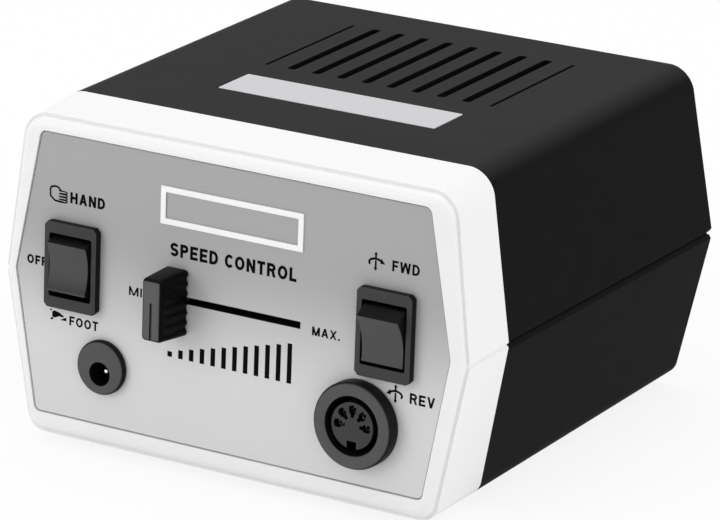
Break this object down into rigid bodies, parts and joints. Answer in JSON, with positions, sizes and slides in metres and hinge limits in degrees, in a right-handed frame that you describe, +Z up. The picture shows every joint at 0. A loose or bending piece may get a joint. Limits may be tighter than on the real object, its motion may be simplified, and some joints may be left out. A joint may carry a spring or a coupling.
{
  "type": "electric nail drill control box",
  "caption": "Six-sided desktop control box with rocker switches, a speed slider, a handpiece socket and a foot pedal jack.",
  "frame": {"origin": "on the surface under the middle of the whole part's bounding box", "axes": "+Z up, -Y out of the control panel, +X to the right as seen from the front"},
  "size_m": [0.1344, 0.134, 0.0844],
  "materials": {
    "black_shell": "fine matt moulded ABS",
    "white_bezel": "satin white ABS",
    "grey_panel": "printed grey plate, darker at the top",
    "silver_plate": "satin silver label plate, bare",
    "switch_black": "semi-matt dark nylon",
    "knob_black": "semi-gloss black",
    "foot_rubber": "matt black rubber",
    "screw_steel": "zinc-plated steel",
    "contact_brass": "bright brass",
    "core_steel": "varnished laminations",
    "copper_winding": "enamelled copper",
    "bobbin_plastic": "natural nylon",
    "board_green": "solder-masked board",
    "part_black": "moulded black",
    "sink_aluminium": "extruded aluminium",
    "fuse_glass": "clear glass tube"
  },
  "bodies": {
    "case": {"lower_shell": "black_shell", "upper_shell": "black_shell", "rear_panel": "black_shell", "front_bezel": "white_bezel", "front_panel": "grey_panel", "name_plate": "silver_plate", "case_screw_1": "screw_steel", "case_screw_2": "screw_steel", "case_screw_3": "screw_steel", "case_screw_4": "screw_steel", "rubber_foot_1": "foot_rubber", "rubber_foot_2": "foot_rubber", "rubber_foot_3": "foot_rubber", "rubber_foot_4": "foot_rubber", "mode_switch_housing": "switch_black", "mode_terminal_upper": "contact_brass", "mode_terminal_middle": "contact_brass", "mode_terminal_lower": "contact_brass", "direction_switch_housing": "switch_black", "direction_terminal_upper": "contact_brass", "direction_terminal_middle": "contact_brass", "direction_terminal_lower": "contact_brass", "slide_pot_frame": "screw_steel", "slide_pot_track": "part_black", "slide_pot_screw_1": "screw_steel", "slide_pot_screw_2": "screw_steel", "handpiece_socket_shell": "switch_black", "handpiece_socket_insert": "part_black", "handpiece_socket_nut": "screw_steel", "socket_contact_1": "contact_brass", "socket_contact_2": "contact_brass", "socket_contact_3": "contact_brass", "socket_contact_4": "contact_brass", "socket_contact_5": "contact_brass", "foot_jack_body": "switch_black", "foot_jack_pin": "contact_brass", "foot_jack_nut": "screw_steel", "transformer_core": "core_steel", "transformer_bobbin": "bobbin_plastic", "transformer_winding": "copper_winding", "transformer_strap": "screw_steel", "strap_screw_1": "screw_steel", "strap_screw_2": "screw_steel", "circuit_board": "board_green", "smoothing_capacitor": "part_black", "bridge_rectifier": "part_black", "heat_sink": "sink_aluminium", "power_transistor": "part_black", "fuse_holder": "part_black", "fuse_link": "fuse_glass", "cord_gland": "part_black"},
    "mode_rocker": {"mode_rocker": "switch_black"},
    "mode_seesaw": {"mode_seesaw_contact": "contact_brass"},
    "direction_rocker": {"direction_rocker": "switch_black"},
    "direction_seesaw": {"direction_seesaw_contact": "contact_brass"},
    "speed_slider": {"speed_knob": "knob_black", "slider_carriage": "screw_steel", "slider_wiper": "contact_brass"},
    "fuse_cap": {"fuse_cap": "part_black"}
  },
  "joints": [
    {"name": "mode_switch_tilt", "type": "hinge", "parent": "case", "child": "mode_rocker", "pos_m": [-0.0443, -0.05433, 0.04663], "axis": [-1, 0, 0], "range_deg": [-12, 12]},
    {"name": "mode_seesaw_tilt", "type": "hinge", "parent": "case", "child": "mode_seesaw", "pos_m": [-0.0443, -0.04724, 0.04623], "axis": [-1, 0, 0], "range_deg": [-4.8, 4.8]},
    {"name": "direction_switch_tilt", "type": "hinge", "parent": "case", "child": "direction_rocker", "pos_m": [0.0443, -0.05433, 0.04663], "axis": [-1, 0, 0], "range_deg": [0, 28]},
    {"name": "direction_seesaw_tilt", "type": "hinge", "parent": "case", "child": "direction_seesaw", "pos_m": [0.0443, -0.04724, 0.04623], "axis": [-1, 0, 0], "range_deg": [-11.2, 0]},
    {"name": "speed_slide", "type": "slide", "parent": "case", "child": "speed_slider", "axis": [1, 0, 0], "range_m": [0, 0.03]},
    {"name": "fuse_cap_turn", "type": "hinge", "parent": "case", "child": "fuse_cap", "pos_m": [0.03, 0.0615, 0.0603], "axis": [0, 1, 0], "range_deg": [0, 90]}
  ],
  "couplings": [
    {"joint": "mode_seesaw_tilt", "follows": "mode_switch_tilt", "ratio": -0.4},
    {"joint": "direction_seesaw_tilt", "follows": "direction_switch_tilt", "ratio": -0.4}
  ]
}
